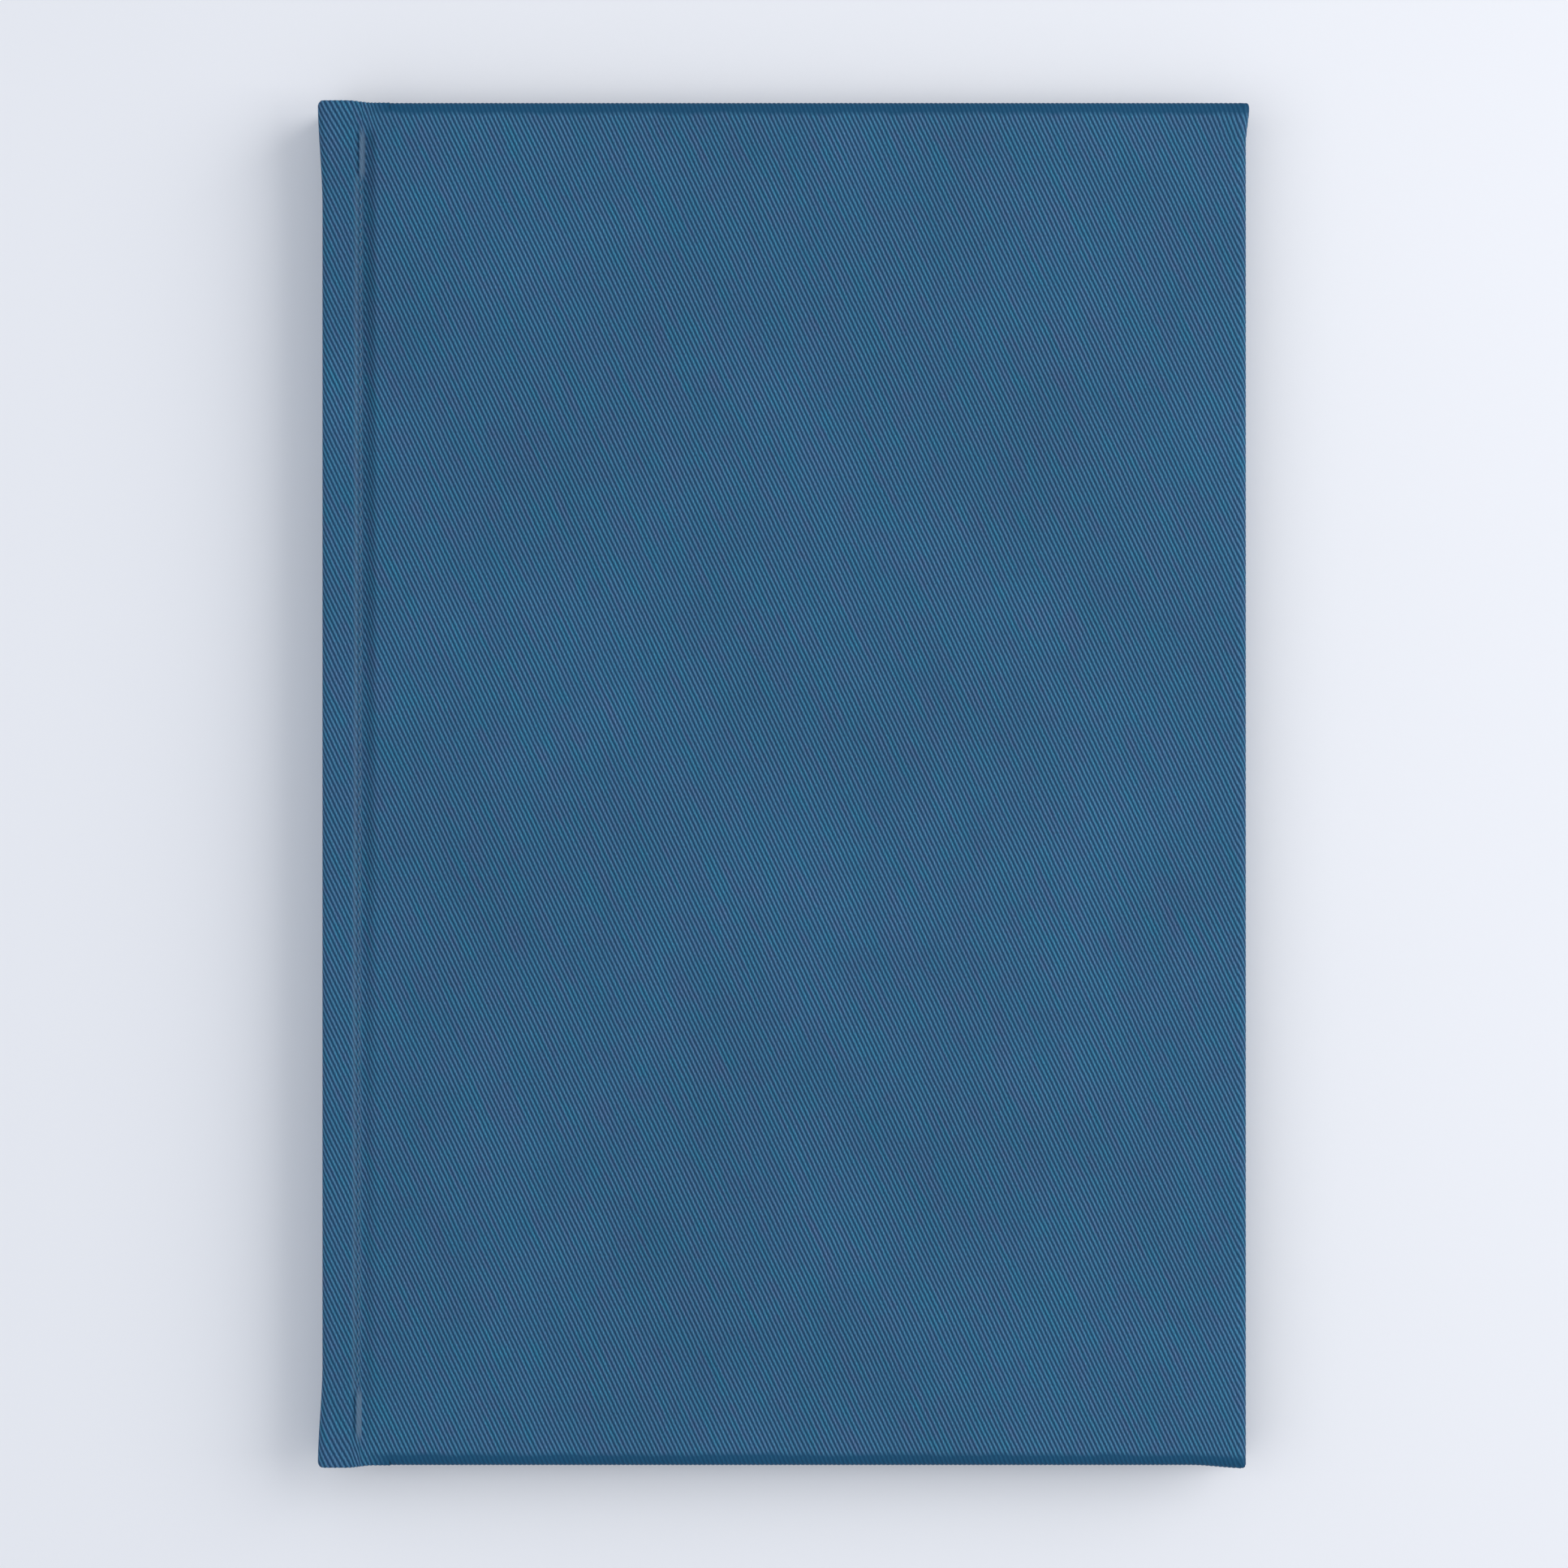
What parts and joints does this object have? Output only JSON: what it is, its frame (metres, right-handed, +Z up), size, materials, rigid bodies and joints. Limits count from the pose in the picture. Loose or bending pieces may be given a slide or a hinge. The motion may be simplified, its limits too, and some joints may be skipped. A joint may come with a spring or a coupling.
{
  "type": "pilot logbook",
  "caption": "Closed hardback logbook bound in blue twill cloth, with pressed joints, sewn sections and covers that open flat.",
  "frame": {"origin": "bottom centre of the closed book: the middle of the back cover's outer face, on the surface it lies on", "axes": "+Z up through the book from the back cover to the front cover, +Y from the tail to the head, spine at -X and fore edge at +X"},
  "size_m": [0.15, 0.222, 0.012],
  "materials": {
    "book_cloth": "matt warp-faced twill book cloth, mid blue with lighter and darker yarns",
    "grey_board": "matt grey board",
    "endpaper": "matt off-white endpaper",
    "log_paper": "uncoated ledger paper with pale ruling",
    "linen_thread": "waxed linen thread",
    "gauze": "open starched gauze",
    "kraft_paper": "brown kraft paper",
    "cotton_tape": "plain woven cotton tape",
    "band_silk": "striped woven band, blue and white"
  },
  "bodies": {
    "back_cover": {"back_board": "grey_board", "back_cloth": "book_cloth", "back_pastedown": "endpaper"},
    "back_flyleaf": {"back_flyleaf": "endpaper"},
    "section_8": {"section_8": "log_paper", "sewing_thread_8": "linen_thread"},
    "section_7": {"section_7": "log_paper", "sewing_thread_7": "linen_thread"},
    "section_6": {"section_6": "log_paper", "sewing_thread_6": "linen_thread"},
    "section_5": {"section_5": "log_paper", "sewing_thread_5": "linen_thread", "mull": "gauze", "spine_lining": "kraft_paper", "tape_head": "cotton_tape", "tape_middle": "cotton_tape", "tape_tail": "cotton_tape", "headband": "band_silk", "tailband": "band_silk"},
    "section_4": {"section_4": "log_paper", "sewing_thread_4": "linen_thread"},
    "section_3": {"section_3": "log_paper", "sewing_thread_3": "linen_thread"},
    "section_2": {"section_2": "log_paper", "sewing_thread_2": "linen_thread"},
    "section_1": {"section_1": "log_paper", "sewing_thread_1": "linen_thread"},
    "front_flyleaf": {"front_flyleaf": "endpaper"},
    "front_cover": {"front_board": "grey_board", "front_cloth": "book_cloth", "front_pastedown": "endpaper"},
    "spine": {"spine_inlay": "grey_board", "spine_cloth": "book_cloth", "front_joint_cloth": "book_cloth", "back_joint_cloth": "book_cloth"}
  },
  "joints": [
    {"name": "back_endpaper_fold", "type": "hinge", "parent": "back_cover", "child": "back_flyleaf", "pos_m": [-0.0729, 0, 0.00282], "axis": [0, -1, 0], "range_deg": [0, 3]},
    {"name": "section_8_fold", "type": "hinge", "parent": "back_flyleaf", "child": "section_8", "pos_m": [-0.0729, 0, 0.00299], "axis": [0, -1, 0], "range_deg": [0, 4]},
    {"name": "section_7_fold", "type": "hinge", "parent": "section_8", "child": "section_7", "pos_m": [-0.0729, 0, 0.00375], "axis": [0, -1, 0], "range_deg": [0, 7]},
    {"name": "section_6_fold", "type": "hinge", "parent": "section_7", "child": "section_6", "pos_m": [-0.0729, 0, 0.0045], "axis": [0, -1, 0], "range_deg": [0, 12]},
    {"name": "section_5_fold", "type": "hinge", "parent": "section_6", "child": "section_5", "pos_m": [-0.0729, 0, 0.00526], "axis": [0, -1, 0], "range_deg": [0, 22]},
    {"name": "middle_opening", "type": "hinge", "parent": "section_5", "child": "section_4", "pos_m": [-0.0729, 0, 0.00601], "axis": [0, -1, 0], "range_deg": [0, 84], "deforming": ["mull", "spine_lining", "tape_head", "tape_middle", "tape_tail", "headband", "tailband", "front_joint_cloth", "back_joint_cloth"]},
    {"name": "section_3_fold", "type": "hinge", "parent": "section_4", "child": "section_3", "pos_m": [-0.0729, 0, 0.00677], "axis": [0, -1, 0], "range_deg": [0, 22]},
    {"name": "section_2_fold", "type": "hinge", "parent": "section_3", "child": "section_2", "pos_m": [-0.0729, 0, 0.00752], "axis": [0, -1, 0], "range_deg": [0, 12]},
    {"name": "section_1_fold", "type": "hinge", "parent": "section_2", "child": "section_1", "pos_m": [-0.0729, 0, 0.00827], "axis": [0, -1, 0], "range_deg": [0, 7]},
    {"name": "front_endpaper_fold", "type": "hinge", "parent": "section_1", "child": "front_flyleaf", "pos_m": [-0.0729, 0, 0.00903], "axis": [0, -1, 0], "range_deg": [0, 7]},
    {"name": "front_cover_hinge", "type": "hinge", "parent": "front_flyleaf", "child": "front_cover", "pos_m": [-0.0696, 0, 0.0121], "axis": [0, 1, 0], "range_deg": [-179, 0]},
    {"name": "spine_turn", "type": "hinge", "parent": "back_cover", "child": "spine", "pos_m": [-0.07145, 0, 0.00355], "axis": [0, -1, 0], "range_deg": [0, 90]}
  ],
  "couplings": [
    {"joint": "back_endpaper_fold", "follows": "middle_opening", "ratio": 0.035714},
    {"joint": "section_8_fold", "follows": "middle_opening", "ratio": 0.047619},
    {"joint": "section_7_fold", "follows": "middle_opening", "ratio": 0.083333},
    {"joint": "section_6_fold", "follows": "middle_opening", "ratio": 0.14286},
    {"joint": "section_5_fold", "follows": "middle_opening", "ratio": 0.2619},
    {"joint": "section_3_fold", "follows": "middle_opening", "ratio": 0.2619},
    {"joint": "section_2_fold", "follows": "middle_opening", "ratio": 0.14286},
    {"joint": "section_1_fold", "follows": "middle_opening", "ratio": 0.083333},
    {"joint": "front_endpaper_fold", "follows": "middle_opening", "ratio": 0.083333},
    {"joint": "spine_turn", "follows": "middle_opening", "ratio": 1.0714}
  ]
}
